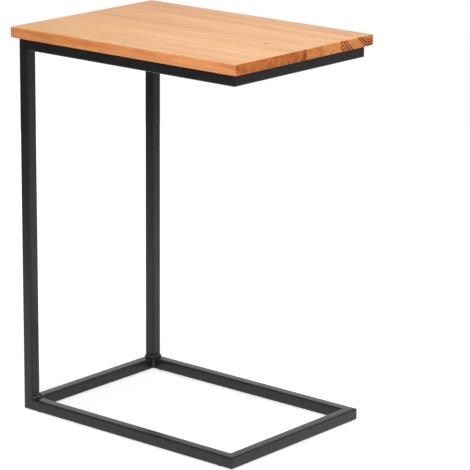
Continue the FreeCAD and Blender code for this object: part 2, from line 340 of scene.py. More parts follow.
def wood_finish(settings):
    """Oiled softwood: growth rings round each board's own pith, fibres and end grain.

    Every noise divides a place by the length of its marks along the grain, across it
    and up through it, in millimetres.
    """
    material, wood = new_material("oiled_wood")
    along, across, height = wood.place()
    pith_y, pith_z, ring = wood.attribute("pith")
    contrast, dense_from, dense_to = wood.attribute("rings")
    tone, end_tone, seed = wood.attribute("tone")
    streak_y, streak_from, streak_to = wood.attribute("streak")
    knot_x, knot_y, knot_size = wood.attribute("knot")
    shift = seed * 7.31

    # The trunk wanders, so its rings wave a little along the board.
    slow = wood.noise((along / 240 + shift, across / 90, height / 90 + shift), 1.0)
    quick = wood.noise((along / 55 + shift, across / 12, height / 12))
    wander = slow * 12 + quick * 1.4

    # A knot pushes the rings aside and has a dark core, which lies across the grain.
    knot_along = (along - knot_x) / knot_size
    knot_across = (across - knot_y) / knot_size
    bulge = wood.step(wood.distance(knot_along / 2.4, knot_across), 5.0, 0.5) * 7
    core = wood.step(wood.distance(knot_along, knot_across / 2.4), 1.0, 0.3)

    # Each ring darkens slowly and ends sharply, is broken by fibres, and differs from the next.
    fibres = wood.noise((along / 30, across / 0.9, height / 0.9), 4.0, 0.65)
    radius = wood.distance(across - pith_y, height - pith_z) + wander + bulge
    uneven = wood.noise((radius / 16, shift, 0.5), 1.0) * 0.8
    count = radius / ring + uneven
    phase = wood.math("FRACT", count)
    ended = wood.step(phase, 1.0, 0.94)
    late = wood.step(phase, 0.35, 0.85) * ended
    number = wood.math("FLOOR", count) + shift
    weight = wood.node("ShaderNodeTexWhiteNoise", {"W": number}, noise_dimensions="1D")
    rings = late * (weight * 0.7 + 0.3) * (fibres * 2 + 1)
    years = wood.noise((radius / 8, shift, 0.3), 1.0)
    band = wood.step(radius, dense_from - 2, dense_from + 2)
    band = band * wood.step(radius, dense_to + 2, dense_to - 2)
    band = band * wood.step(phase, 0.40, 0.70) * ended

    line_far = abs(across - streak_y + wander * 0.12)
    streak = wood.step(line_far, 2.8, 0.6) * wood.step(along, streak_from - 30, streak_from + 30)
    streak = streak * wood.step(along, streak_to + 25, streak_to - 90)

    bands = wood.noise((along / 330, across / 5 + shift, height / 5), 3.0)
    flecks = wood.noise((along / 9, across / 0.45, height / 0.45), 1.0)
    flecks = wood.step(flecks, 0.10, 0.22)
    cloud = wood.noise((along / 150, across / 28, height / 28 + shift))
    blotch = wood.noise((along / 60, across / 11, height / 7 + shift))

    facing_x, facing_y, _ = wood.parts(wood.node("ShaderNodeNewGeometry", output="Normal"))
    end = wood.step(abs(facing_x), 0.5, 0.9)
    edge = wood.step(abs(facing_y), 0.5, 0.9)
    long_grain = rings * contrast * (edge * 0.3 + 0.8) + band * 0.12 + streak * 0.3 + core * 0.6
    long_grain = long_grain + years * 0.35 + bands * 0.40 + fibres * 0.45 + flecks * 0.10 - cloud * 0.25
    long_grain = long_grain + tone + blotch * (edge * 0.35 + 0.25) + 0.03
    end_grain = (rings - 0.25) * contrast * 1.7 + band * 1.5 + years * 0.6 + blotch * 0.8
    end_grain = end_grain + end_tone + fibres * 0.2
    dark = long_grain + (end_grain - long_grain) * end

    # Wood can be paler than its usual tone, so that tone lies a fifth of the way to the dark.
    shown = wood.mix(dark * 0.8 + 0.2, rgba(settings.early_wood), rgba(settings.late_wood))
    # The top is tinted warmer and darker towards its rear end along X and paler towards its front end,
    # and clouds and blotches vary the tint at random.
    warm = wood.step(along, 250, -250) * 0.8 - cloud * 1.6 + blotch * 0.8 + 0.05
    shown = wood.tint(warm, shown, settings.warm_tint)
    # Painted shade: the long side faces are tinted darker than the upper face.
    shown = wood.tint(edge, shown, settings.side_shade_tint)
    shown = wood.tint(end * wood.step(dark, -1.0, 0.25), shown, settings.end_tint)
    shown = wood.tint(end * band, shown, settings.dense_tint)
    relief = fibres * -0.5 + late * -0.2 + flecks * -0.3
    shade(wood, {
        "Base Color": shown,
        "Roughness": fibres * 0.12 + flecks * 0.06 + end * 0.35 + settings.roughness,
        "Specular IOR Level": 0.4,
        "Normal": wood.bump(0.30, 0.00015, relief),
    })
    return material


class Grain(NamedTuple):
    """A noise of some size in millimetres, and how much it changes tone and roughness."""
    sizes: tuple
    tone: float
    roughness: float
    detail: float = 2.0


def uneven_finish(name, base, darkest, lightest, roughness, fine, broad, relief, sockets):
    """A finish of one colour with a fine grain, which also stands out, and a broad one.

    The relief is the strength of the fine grain and its depth in metres.
    """
    material, nodes = new_material(name)
    place = nodes.place()
    tone = 0.5
    rough = roughness
    noises = []
    for grain in (fine, broad):
        noise = nodes.noise([part / size for part, size in zip(place, grain.sizes)], grain.detail)
        tone = noise * grain.tone + tone
        rough = noise * grain.roughness + rough
        noises.append(noise)
    shade(nodes, {
        "Base Color": nodes.mix(tone, rgba(base, darkest), rgba(base, lightest)),
        "Roughness": rough,
        "Normal": nodes.bump(*relief, noises[0]),
        **sockets,
    })
    return material


def coat_finish(settings):
    """Black powder coat: a fine orange-peel texture with a low sheen."""
    peel = Grain((0.9, 0.9, 0.9), 0.5, 0.15)
    patch = Grain((40, 40, 40), 0.5, 0.08)
    return uneven_finish(
        "powder_coat", settings.coat, darkest=0.8, lightest=1.2, roughness=settings.roughness,
        fine=peel, broad=patch, relief=(0.25, 0.0001), sockets={"Specular IOR Level": settings.sheen})


def zinc_finish(settings):
    """Bright zinc plating with faint turning marks."""
    marks = Grain((0.6, 0.6, 0.08), 0.5, 0.08)
    patch = Grain((3, 3, 3), 0.6, 0.15)
    return uneven_finish(
        "zinc_plate", settings.zinc, darkest=0.8, lightest=1.15, roughness=0.34,
        fine=marks, broad=patch, relief=(0.2, 0.00003), sockets={"Metallic": 1.0})


def plastic_finish(settings):
    """Matt black moulded plastic."""
    grain = Grain((0.4, 0.4, 0.4), 0.4, 0.0)
    scuff = Grain((5, 0.8, 5), 0.7, 0.2, 3.0)
    return uneven_finish(
        "glide_plastic", settings.plastic, darkest=0.75, lightest=1.4, roughness=0.55,
        fine=grain, broad=scuff, relief=(0.2, 0.00005), sockets={})


def once(make, settings):
    """A material that is made the first time it is asked for."""
    name = make.__name__
    if name not in MADE:
        MADE[name] = make(settings)
    return MADE[name]


def add_object(name, data):
    """A new object in the scene."""
    item = bpy.data.objects.new(name, data)
    bpy.context.scene.collection.objects.link(item)
    return item


def add_piece(name, mesh, material, slot, *nodes):
    """Show a mesh as a piece of the table, in place of the nodes that it stands for."""
    piece = add_object(name, mesh)
    mesh.materials.clear()
    mesh.materials.append(material)
    mesh.set_sharp_from_angle(angle=SHARP)
    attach(piece, BODY)
    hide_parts(*nodes)


def line_mesh(name, points, edges=()):
    """A mesh of points, and of the lines between them."""
    mesh = bpy.data.meshes.new(name)
    mesh.from_pydata(points, edges, [])
    return mesh


def set_vectors(mesh, name, vectors):
    """Give each point of a mesh a vector of its own."""
    attribute = mesh.attributes.new(name, "FLOAT_VECTOR", "POINT")
    for value, vector in zip(attribute.data, vectors):
        value.vector = vector


def finished_mesh(name, shape):
    """A plain mesh from a bmesh, flat on its flat faces and smooth on its round ones."""
    bmesh.ops.recalc_face_normals(shape, faces=shape.faces[:])
    for face in shape.faces:
        face.smooth = max(abs(part) for part in face.normal) < FLAT
    mesh = bpy.data.meshes.new(name)
    shape.to_mesh(mesh)
    shape.free()
    return mesh


def skin(shape, loops, closed=False):
    """Join loops of equal length with strips of faces, and merge what coincides."""
    rows = [[shape.verts.new(place) for place in loop] for loop in loops]
    pairs = list(zip(rows, rows[1:]))
    if closed:
        pairs.append((rows[-1], rows[0]))
    for low, high in pairs:
        for index in range(len(low)):
            last = index - 1
            shape.faces.new((low[last], low[index], high[index], high[last]))
    bmesh.ops.remove_doubles(shape, verts=shape.verts[:], dist=1e-6)


def skinned_mesh(name, loops, closed=False, capped=False):
    """A mesh of strips of faces between loops, with its open ends closed if it is capped."""
    shape = bmesh.new()
    skin(shape, loops, closed)
    if capped:
        bmesh.ops.holes_fill(shape, edges=shape.edges[:], sides=0)
    return finished_mesh(name, shape)


def circle(radius, steps):
    turns = (2 * math.pi * step / steps for step in range(steps))
    return [Vector((radius * math.cos(turn), radius * math.sin(turn))) for turn in turns]


def arc(centre, radius, start, end, steps):
    """Points on an arc between two angles in degrees, both ends included."""
    turns = (math.radians(start + (end - start) * step / steps) for step in range(steps + 1))
    return [centre + radius * Vector((math.cos(turn), math.sin(turn))) for turn in turns]


def rounded_square(size, radius, steps):
    """The outline of a square with round corners, centred on its middle."""
    reach = size / 2 - radius
    outline = []
    for quarter, (side, up) in enumerate(((1, 1), (-1, 1), (-1, -1), (1, -1))):
        centre = Vector((side * reach, up * reach))
        outline += arc(centre, radius, 90 * quarter, 90 * quarter + 90, steps)
    return outline


def turned(profile, centre, steps):
    """Loops that turn a profile of radius and height about an upright line through a point."""
    return [[Vector((centre.x + u, centre.y + v, height)) for u, v in circle(radius, steps)]
            for radius, height in profile]


def modified(mesh, kind, inputs=None, **settings):
    """A plain mesh as one modifier leaves it, with the modifier's settings and node inputs."""
    work = add_object("work", mesh)
    modifier = work.modifiers.new("work", kind)
    for name, value in settings.items():
        setattr(modifier, name, value)
    for key, value in (inputs or {}).items():
        modifier[key] = value
    graph = bpy.context.evaluated_depsgraph_get()
    graph.update()
    result = bpy.data.meshes.new_from_object(work.evaluated_get(graph))
    bpy.data.objects.remove(work)
    return result


def cut(mesh, tool_mesh):
    """The first mesh less the second."""
    tool = add_object("tool", tool_mesh)
    result = modified(mesh, "BOOLEAN", operation="DIFFERENCE", solver="EXACT", object=tool)
    bpy.data.objects.remove(tool)
    result.name = mesh.name
    return result


def bore(mesh, centres, radius, low, high):
    """Drill upright holes in a mesh."""
    for centre in centres:
        profile = [(0, low), (radius, low), (radius, high), (0, high)]
        mesh = cut(mesh, skinned_mesh("drill", turned(profile, centre, 32)))
    return mesh


class FrameLines:
    """Centre lines and faces of the frame, read from the nodes that show them whole."""

    def __init__(self):
        rear_low, rear_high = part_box("base_rear_rail")
        top_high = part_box("top_rear_rail")[1]
        front_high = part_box("base_front_rail")[1]
        self.tube = rear_high.x - rear_low.x
        self.half = self.tube / 2
        self.rear_face = rear_low.x
        self.rear = rear_low.x + self.half
        self.front = front_high.x - self.half
        self.inner = rear_high.y
        self.side = self.inner + self.half
        self.base = rear_low.z + self.half
        self.top = top_high.z - self.half

    def levels(self):
        """The height of each ring of rails, and the way that the C opens from it."""
        return {"base": (self.base, Z), "top": (self.top, -Z)}


class Fixings:
    """Where the screws stand, and the sizes that the washers and screws have."""

    def __init__(self):
        low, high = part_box("top_washers")
        screw_low, screw_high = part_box("top_screws")
        tab_low, tab_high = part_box("fixing_tab_front_right")
        reach = (tab_low.x + tab_high.x) / 2
        self.washer_radius = high.x - reach
        self.head_radius = screw_high.x - reach
        self.washer_low = low.z
        self.washer_high = high.z
        self.screw_low = screw_low.z
        self.screw_high = screw_high.z
        self.points = {}
        for corner in CORNERS:
            tab_low, tab_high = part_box(f"fixing_tab_{corner}")
            y = math.copysign(high.y - self.washer_radius, tab_high.y)
            self.points[corner] = Vector(((tab_low.x + tab_high.x) / 2, y, 0))


def set_growth(mesh, stave, left, under, seed):
    """Tell the wood finish how a board was cut, with one value for the whole board."""
    facts = {
        "pith": (left + stave.pith[0], under + stave.pith[1], stave.ring),
        "rings": (stave.contrast, *stave.dense),
        "tone": (stave.tone, stave.end, seed),
        "streak": (left + stave.streak[0], *stave.streak[1:]),
        "knot": (stave.knot[0], left + stave.knot[1], stave.knot[2]),
    }
    for name, fact in facts.items():
        set_vectors(mesh, name, [fact] * len(mesh.vertices))


def board_mesh(name, low, high, settings, first, last):
    """A board with the panel's outside edges rounded and its glued edges left square."""
    shape = bmesh.new()
    bmesh.ops.create_cube(shape, size=1.0)
    bmesh.ops.scale(shape, vec=high - low, verts=shape.verts[:])
    bmesh.ops.translate(shape, vec=(low + high) / 2, verts=shape.verts[:])

    def glued(face):
        return (face.normal.y < -0.5 and not first) or (face.normal.y > 0.5 and not last)

    shape.normal_update()
    largest = max(settings.edge_radius, settings.lower_radius)
    weights = shape.edges.layers.float.new("bevel_weight_edge")
    for edge in shape.edges:
        if not any(glued(face) for face in edge.link_faces):
            lower = any(face.normal.z < -0.5 for face in edge.link_faces)
            edge[weights] = (settings.lower_radius if lower else settings.edge_radius) / largest
    square = finished_mesh("square", shape)
    shape = bmesh.new()
    shape.from_mesh(modified(square, "BEVEL", limit_method="WEIGHT", width=largest, segments=6))
    return finished_mesh(name, shape)


class SIDE_TABLE_OT_boards(bpy.types.Operator):
    """Glue up the wooden top from its boards"""
    bl_idname = "side_table.boards"
    bl_label = "Boards"

    def execute(self, context):
        settings = context.scene.side_table_wood
        screws = context.scene.side_table_fixings
        wood = once(wood_finish, settings)
        fixings = Fixings()
        hole = screws.shank / 2 + screws.fit
        for number, stave in enumerate(STAVES, 1):
            name = f"top_board_{number}"
            low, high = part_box(name)
            ends = (number == 1, number == len(STAVES))
            mesh = board_mesh(name, low, high, settings, *ends)
            holes = [place for place in fixings.points.values() if low.y < place.y < high.y]
            mesh = bore(mesh, holes, hole, low.z - hole, fixings.screw_high + screws.fit)
            set_growth(mesh, stave, low.y / MM, low.z / MM, number)
            add_piece(f"board_{number}", mesh, wood, "wood", name)
        return {"FINISHED"}


def mitre_loops(place, outward, turn, outline, radius, half, steps=3):
    """Loops that end a tube at a mitre, with the outer corner of the mitre ground round."""
    reach = half - radius
    loops = []
    for step in range(steps + 1):
        limit = reach + radius * math.tan(math.radians(45 * step / steps))
        loop = []
        for offset in outline:
            outer = -offset.dot(turn)
            along = min(limit, outer)
            past = Vector((along - reach, outer - reach))
            shift = offset + outward * along
            if min(past) > 0 and past.length > radius:
                pulled = past.normalized() * radius + Vector((reach, reach))
                shift += outward * (pulled.x - along) - turn * (pulled.y - outer)
            loop.append(place + shift)
        loops.append(loop)
    return loops


def tube_mesh(name, start, end, turns, settings, lines):
    """A square tube between two points, mitred where a turn is given and square where not."""
    along = (end - start).normalized()
    across = X if abs(along.x) < 0.5 else Y
    up = along.cross(across)

    def outline(size, corner):
        flat = rounded_square(size, corner, settings.corner_steps)
        return [across * u + up * v for u, v in flat]

    def chain(walls, radius):
        """Loops from the tube's start to its end, on its outside or in its bore."""
        loops = []
        for place, outward, turn in ((start, -along, turns[0]), (end, along, turns[1])):
            if turn is None:
                part = [[place + offset for offset in walls]]
            elif radius:
                part = mitre_loops(place, outward, turn, walls, radius, lines.half)
            else:
                part = [[place + offset - outward * offset.dot(turn) for offset in walls]]
            loops += part if outward == along else part[::-1]
        return loops

    outside = outline(lines.tube, settings.corner_radius)
    inside = outline(lines.tube - 2 * settings.wall, settings.corner_radius - settings.wall)
    loops = chain(outside, settings.corner_radius) + chain(inside, 0)[::-1]
    return skinned_mesh(name, loops, closed=True)


class SIDE_TABLE_OT_tubes(bpy.types.Operator):
    """Cut and mitre the square tubes of the frame"""
    bl_idname = "side_table.tubes"
    bl_label = "Tubes"

    def execute(self, context):
        settings = context.scene.side_table_frame
        fit = context.scene.side_table_fixings.fit
        coat = once(coat_finish, settings)
        lines = FrameLines()
        tubes = []
        for side, sign in SIDES.items():
            y = sign * lines.side
            foot = Vector((lines.rear, y, lines.base))
            head = Vector((lines.rear, y, lines.top))
            tubes.append((f"{side}_post", foot, head, (X, X)))
            for level, (line, opening) in lines.levels().items():
                rear = Vector((lines.rear, y, line))
                front = Vector((lines.front, y, line))
                tubes.append((f"{level}_{side}_rail", rear, front, (opening, Y * -sign)))
        for level, (line, _) in lines.levels().items():
            ends = [Vector((lines.front, sign * lines.side, line)) for sign in SIDES.values()]
            tubes.append((f"{level}_front_rail", *ends, (-X, -X)))
            ends = [Vector((lines.rear, sign * lines.inner, line)) for sign in SIDES.values()]
            tubes.append((f"{level}_rear_rail", *ends, (None, None)))

        under = lines.base - lines.half
        holes = {f"base_{side}_rail": [f"glide_{end}_{side}" for end in ENDS] for side in SIDES}
        for name, start, end, turns in tubes:
            mesh = tube_mesh(name, start, end, turns, settings, lines)
            for glide in holes.get(name, ()):
                low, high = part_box(glide)
                stem = (high.x - low.x) / 4
                drill = (under - settings.wall, under + 2 * settings.wall)
                mesh = bore(mesh, [(low + high) / 2], stem + fit, *drill)
            add_piece(f"tube_{name}", mesh, coat, "frame", name)
        return {"FINISHED"}


def node_tree(name, inputs):
    """A geometry node tree, and its inputs by name."""
    tree = bpy.data.node_groups.new(name, "GeometryNodeTree")
    tree.interface.new_socket("Geometry", in_out="OUTPUT", socket_type="NodeSocketGeometry")
    nodes = Nodes(tree)
    for label, kind in {"Geometry": "Geometry", **inputs}.items():
        tree.interface.new_socket(label, in_out="INPUT", socket_type=f"NodeSocket{kind}")
    given = {label: nodes.node("NodeGroupInput", output=label) for label in ("Geometry", *inputs)}
    return nodes, given


def end_tree(nodes, solid, material):
    """End a geometry node tree in plain, finished faces."""
    solid = nodes.node("GeometryNodeRealizeInstances", {"Geometry": solid})
    solid = nodes.node("GeometryNodeSetMaterial", {"Geometry": solid, "Material": material})
    nodes.node("NodeGroupOutput", {"Geometry": solid})
    return nodes.tree


def run_tree(tree, mesh, values):
    """The plain mesh that a node tree makes from a mesh, with its inputs set by name."""
    inputs = {socket.identifier: values[socket.name] for socket in tree.interface.items_tree
              if socket.in_out == "INPUT" and socket.name in values}
    return modified(mesh, "NODES", inputs, node_group=tree)


def bead_tree():
    """Nodes that lay a lumpy, rippled weld bead along each line of a mesh."""
    bead, given = node_tree("weld_bead", {
        "Profile": "Object", "Step": "Float", "End Length": "Float", "Seed": "Float",
        "Ripple Spacing": "Float", "Ripple Depth": "Float",
        "Lump Spacing": "Float", "Lump Depth": "Float", "Material": "Material"})
    line = bead.node("GeometryNodeMeshToCurve", {"Mesh": given["Geometry"]})
    line = bead.node("GeometryNodeResampleCurve", {
        "Curve": line, "Length": given["Step"]}, mode="LENGTH")
    side = bead.node("GeometryNodeInputNamedAttribute", {
        "Name": "bead_side"}, data_type="FLOAT_VECTOR")
    line = bead.node("GeometryNodeSetCurveNormal", {"Curve": line, "Normal": side}, mode="FREE")

    done = bead.node("GeometryNodeSplineParameter", output="Length")
    whole = bead.node("GeometryNodeSplineLength", output="Length")
    left = bead.math("MINIMUM", done, whole - done)
    ends = bead.node("ShaderNodeMapRange", {
        "Value": left, "From Max": given["End Length"], "To Min": 0.55},
        interpolation_type="SMOOTHERSTEP")
    wave = bead.math("COSINE", done / given["Ripple Spacing"] * (2 * math.pi)) * 0.5 + 0.5
    ripple = wave * given["Ripple Depth"]
    lumps = bead.node("ShaderNodeTexNoise", {
        "W": done / given["Lump Spacing"] + given["Seed"], "Scale": 1.0, "Detail": 1.0},
        noise_dimensions="1D")
    lumps = (lumps - 0.5) * 2 * given["Lump Depth"]
    size = ends * (1 + lumps - ripple)

    profile = bead.node("GeometryNodeObjectInfo", {"Object": given["Profile"]}, "Geometry")
    profile = bead.node("GeometryNodeMeshToCurve", {"Mesh": profile})
    solid = bead.node("GeometryNodeCurveToMesh", {
        "Curve": line, "Profile Curve": profile, "Scale": size, "Fill Caps": True})
    solid = bead.node("GeometryNodeSetShadeSmooth", {"Geometry": solid})
    return end_tree(bead, solid, given["Material"])


def set_out_tree():
    """Nodes that set a copy of one piece at each point of a mesh, each turned at random."""
    copies, given = node_tree("set_out", {
        "Piece": "Object", "Seed": "Int", "Material": "Material"})
    piece = copies.node("GeometryNodeObjectInfo", {"Object": given["Piece"]}, "Geometry")
    turn = copies.node("FunctionNodeRandomValue", {
        "Min": (0, 0, 0), "Max": (0, 0, 2 * math.pi), "Seed": given["Seed"]},
        data_type="FLOAT_VECTOR")
    solid = copies.node("GeometryNodeInstanceOnPoints", {
        "Points": given["Geometry"], "Instance": piece, "Rotation": turn})
    return end_tree(copies, solid, given["Material"])


def bead_profile(leg, crown=0.2, steps=8):
    """The section of a fillet weld: two legs and a crowned face."""
    outline = [Vector((0, 0))]
    for step in range(steps + 1):
        done = step / steps
        swell = crown * math.sin(math.pi * done)
        outline.append(Vector((1 - done + swell, done + swell)) * leg)
    count = len(outline)
    edges = [(index, (index + 1) % count) for index in range(count)]
    points = [(*place, 0) for place in outline]
    return add_object("bead_profile", line_mesh("bead_profile", points, edges))


class BeadLines:
    """The lines that the welds of one piece follow, each with the face that it stands on."""

    def __init__(self):
        self.points = []
        self.sides = []
        self.edges = []

    def add(self, points, sides, opening):
        """Add a line whose second face looks along opening, in the order that suits it."""
        if (points[1] - points[0]).cross(sides[0]).dot(opening) < 0:
            points = points[::-1]
            sides = sides[::-1]
        first = len(self.points)
        self.points += points
        self.sides += sides
        self.edges += [(first + step, first + step + 1) for step in range(len(points) - 1)]

    def mesh(self):
        mesh = line_mesh("bead_lines", self.points, self.edges)
        set_vectors(mesh, "bead_side", self.sides)
        return mesh


def lay_beads(name, lines, leg, settings, tree, seed):
    """One mesh of welds along the given lines."""
    profile = bead_profile(leg)
    mesh = run_tree(tree, lines.mesh(), {
        "Profile": profile,
        "Step": settings.ripple_spacing / 6,
        "End Length": leg * 0.4,
        "Seed": float(seed),
        "Ripple Spacing": settings.ripple_spacing,
        "Ripple Depth": settings.ripple_depth,
        "Lump Spacing": settings.lump_spacing,
        "Lump Depth": settings.lump_depth,
        "Material": once(coat_finish, settings),
    })
    bpy.data.objects.remove(profile)
    mesh.name = name
    return mesh


def post_bead(lines, sign, face, radius, inset):
    """The line round a post's end: across its front, round its edge and along its inner side."""
    front = lines.rear + lines.half
    inner = sign * lines.inner
    outer_end = Vector((front, sign * (lines.side + lines.half - inset), face))
    inner_end = Vector((lines.rear_face + inset, inner, face))
    centre = Vector((front - radius, inner + sign * radius, face))
    points = [outer_end]
    sides = [X]
    steps = 6
    for step in range(steps + 1):
        turn = math.pi / 2 * step / steps
        side = X * math.cos(turn) - Y * sign * math.sin(turn)
        points.append(centre + side * radius)
        sides.append(side)
    return points + [inner_end], sides + [-Y * sign]


def seam_mesh(lines, sign, line, radius, steps=8):
    """The ground weld that fills a post's rear edge flush where the rear tube meets it."""
    inner = sign * lines.inner
    centre = Vector((lines.rear_face + radius, inner + sign * radius))
    spread = 78
    section = [Vector((lines.rear_face, inner))]
    for step in range(steps + 1):
        turn = math.radians(45 - spread / 2 + spread * step / steps)
        away = Vector((-math.cos(turn), -sign * math.sin(turn)))
        section.append(centre + away * radius)
    reach = lines.half - radius
    loops = [[Vector((*place, line + level)) for place in section] for level in (-reach, reach)]
    return skinned_mesh("seam", loops, capped=True)


def joined(name, meshes):
    """Several meshes as one."""
    shape = bmesh.new()
    for mesh in meshes:
        shape.from_mesh(mesh)
        bpy.data.meshes.remove(mesh)
    whole = bpy.data.meshes.new(name)
    shape.to_mesh(whole)
    shape.free()
    return whole


class SIDE_TABLE_OT_welds(bpy.types.Operator):
    """Lay the weld beads of the frame and its tabs"""
    bl_idname = "side_table.welds"
    bl_label = "Welds"

    def execute(self, context):
        settings = context.scene.side_table_frame
        coat = once(coat_finish, settings)
        tree = bead_tree()
        lines = FrameLines()
        radius = settings.corner_radius
        leg = settings.bead_leg
        reach = lines.half - radius / 2
        seed = 0
        for side, sign in SIDES.items():
            inward = Y * -sign
            for level, (line, opening) in lines.levels().items():
                seed += 10
                face = line + opening.z * lines.half
                post = BeadLines()
                post.add(*post_bead(lines, sign, face, radius, radius / 2), opening)
                root = Vector((lines.rear + lines.half, sign * lines.inner, line))
                post.add([root - Z * reach, root + Z * reach], [X, X], inward)
                end = "foot" if level == "base" else "head"
                name = f"{side}_post_{end}_weld"
                beads = lay_beads(name, post, leg, settings, tree, seed)
                seam = seam_mesh(lines, sign, line, radius)
                add_piece(f"bead_{name}", joined(name, [beads, seam]), coat, "frame", name)

                front = BeadLines()
                root = Vector((lines.front - lines.half, sign * lines.inner, line))
                front.add([root - Z * reach, root + Z * reach], [-X, -X], inward)
                name = f"{level}_front_{side}_weld"
                mesh = lay_beads(name, front, leg, settings, tree, seed + 5)
                add_piece(f"bead_{name}", mesh, coat, "frame", name)

        tabs = BeadLines()
        leg = settings.tab_bead_leg
        for corner in CORNERS:
            low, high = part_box(f"fixing_tab_{corner}")
            inward = Y * math.copysign(1, -high.y)
            root = inward * -lines.inner + Z * low.z
            tabs.add([root + X * (low.x + leg), root + X * (high.x - leg)], [inward] * 2, -Z)
        mesh = lay_beads("fixing_tab_welds", tabs, leg, settings, tree, seed + 10)
        add_piece("bead_fixing_tabs", mesh, coat, "frame", "fixing_tab_welds")
        return {"FINISHED"}


def tab_mesh(name, low, high, slot_place, settings):
    """A flat tab with two round corners at its free end and a slot for the screw.

    The outline has as many points as the slot, so that strips of faces can join them.
    """
    sign = math.copysign(1, high.y)
    middle = (low.x + high.x) / 2
    wall = high.y if sign > 0 else low.y
    across = (high.x - low.x) / 2
    reach = high.y - low.y
    corner = settings.tab_corner
    round_steps = 9
    corner_steps = round_steps // 2
    outline = [Vector((across * (2 * step / round_steps - 1), 0)) for step in range(round_steps + 1)]
    outline += arc(Vector((across - corner, reach - corner)), corner, 0, 90, corner_steps)
    outline += arc(Vector((corner - across, reach - corner)), corner, 90, 180, corner_steps)
    slot_radius = settings.shank / 2 + settings.clearance
    slot_middle = Vector((0, abs(wall - slot_place.y)))
    travel = Vector((0, settings.slot_travel / 2))
    slot = arc(slot_middle - travel, slot_radius, 180, 360, round_steps)
    slot += arc(slot_middle + travel, slot_radius, 0, 180, round_steps)

    def loop(flat, height):
        return [Vector((middle + u, wall - sign * v, height)) for u, v in flat]

    shape = bmesh.new()
    skin(shape, [loop(outline, low.z), loop(outline, high.z),
                 loop(slot, high.z), loop(slot, low.z)], closed=True)
    bmesh.ops.recalc_face_normals(shape, faces=shape.faces[:])
    sharp = [edge for edge in shape.edges if edge.calc_face_angle(0) > math.radians(60)]
    bmesh.ops.bevel(
        shape, geom=sharp, offset=settings.tab_ease, segments=2, profile=0.5, affect="EDGES")
    return finished_mesh(name, shape)


class SIDE_TABLE_OT_tabs(bpy.types.Operator):
    """Cut the flat tabs that hold the top to the frame"""
    bl_idname = "side_table.tabs"
    bl_label = "Fixing tabs"

    def execute(self, context):
        settings = context.scene.side_table_fixings
        coat = once(coat_finish, context.scene.side_table_frame)
        for corner, place in Fixings().points.items():
            name = f"fixing_tab_{corner}"
            mesh = tab_mesh(name, *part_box(name), place, settings)
            add_piece(f"tab_{corner}", mesh, coat, "frame", name)
        return {"FINISHED"}


def thread_loops(seat, high, settings, steps):
    """Loops up a screw's shank, which carry a rolled thread and draw in to a point."""
    shank = settings.shank / 2
    pitch = settings.thread_pitch
    plain = 3.0 * MM
    rows_per_turn = 7
    blunt = 0.06
    steepness = 1.6
    start = seat + plain
    count = math.ceil((high - start) / pitch * rows_per_turn)
    loops = []
    for row in range(count + 1):
        height = start + (high - start) * row / count
        taper = max(blunt, min(1.0, (high - height) / settings.tip))
        loop = []
        for step, place in enumerate(circle(1.0, steps)):
            turn = ((height - seat) / pitch - step / steps) % 1.0
            crest = max(0.0, 1 - abs(2 * turn - 1) * steepness)
            radius = (shank - settings.thread_depth * (1 - crest)) * taper
            loop.append(Vector((*(place * radius), height)))
        loops.append(loop)
    return loops + [[Vector((0, 0, high))] * steps]


def screw_mesh(fixings, settings, steps=24):
    """A pan-head wood screw that points up, with a cross recess and a rolled thread."""
    low = fixings.screw_low
    seat = fixings.washer_low
    rim = seat - low
    head = fixings.head_radius
    profile = [(0, low), (head * 0.55, low), (head * 0.82, low + rim * 0.14),
               (head * 0.96, low + rim * 0.4), (head, low + rim * 0.72),
               (head * 0.98, seat), (settings.shank / 2, seat)]
    loops = turned(profile, Vector(), steps)
    loops += thread_loops(seat, fixings.screw_high, settings, steps)
    span = settings.recess_span / 2
    blade = settings.recess_blade / 2
    arm = [(span, -blade), (span, blade), (blade, blade)]
    cross = []
    for _ in range(4):
        cross += arm
        arm = [(-v, u) for u, v in arm]
    mouth = (1.0, low - rim / 10)
    floor = (0.55, low + settings.recess_depth)
    recess = [[Vector((u * size, v * size, height)) for u, v in cross]
              for size, height in (mouth, floor)]
    return cut(skinned_mesh("screw", loops), skinned_mesh("recess", recess, capped=True))


def washer_mesh(fixings, settings, ease=0.15 * MM):
    """A plain punched washer with softened edges."""
    hole = settings.shank / 2 + settings.clearance
    radius = fixings.washer_radius
    low = fixings.washer_low
    high = fixings.washer_high
    profile = [(hole, low + ease), (hole + ease, low), (radius - ease, low), (radius, low + ease),
               (radius, high - ease), (radius - ease, high), (hole + ease, high), (hole, high - ease)]
    return skinned_mesh("washer", turned(profile, Vector(), 48), closed=True)


class SIDE_TABLE_OT_fixings(bpy.types.Operator):
    """Set the screws and washers that hold the top"""
    bl_idname = "side_table.fixings"
    bl_label = "Screws and washers"

    def execute(self, context):
        settings = context.scene.side_table_fixings
        zinc = once(zinc_finish, settings)
        tree = set_out_tree()
        fixings = Fixings()
        pieces = {
            "top_screws": screw_mesh(fixings, settings),
            "top_washers": washer_mesh(fixings, settings),
        }
        for seed, (name, mesh) in enumerate(pieces.items(), 3):
            pattern = add_object("pattern", mesh)
            points = line_mesh("points", list(fixings.points.values()))
            mesh = run_tree(tree, points, {"Piece": pattern, "Seed": seed, "Material": zinc})
            bpy.data.objects.remove(pattern)
            mesh.name = name
            add_piece(f"set_of_{name}", mesh, zinc, "fasteners", name)
        return {"FINISHED"}


